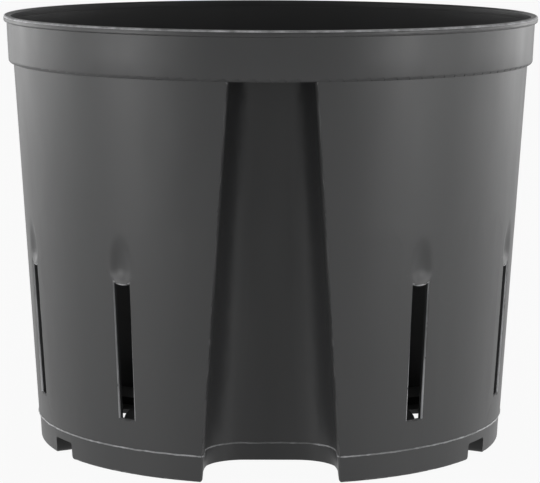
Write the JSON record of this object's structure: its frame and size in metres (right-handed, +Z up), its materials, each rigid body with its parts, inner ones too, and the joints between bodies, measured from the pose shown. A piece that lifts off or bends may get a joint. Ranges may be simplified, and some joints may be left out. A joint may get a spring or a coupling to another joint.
{
  "type": "plastic plant pot",
  "caption": "Round tapered plastic pot for growing plants in granules, with a banded rim, tall drainage slots, a front flute for a water gauge, and a raised base on a notched foot.",
  "frame": {"origin": "centre of the foot's underside, on the pot's axis", "axes": "+Z up along the pot's axis towards the rim; the flute faces -Y; +X is to the right seen from the front"},
  "size_m": [0.15, 0.15, 0.12],
  "materials": {
    "plastic": "satin, moulded, anthracite grey"
  },
  "bodies": {
    "root": {"pot": "plastic"}
  },
  "joints": []
}
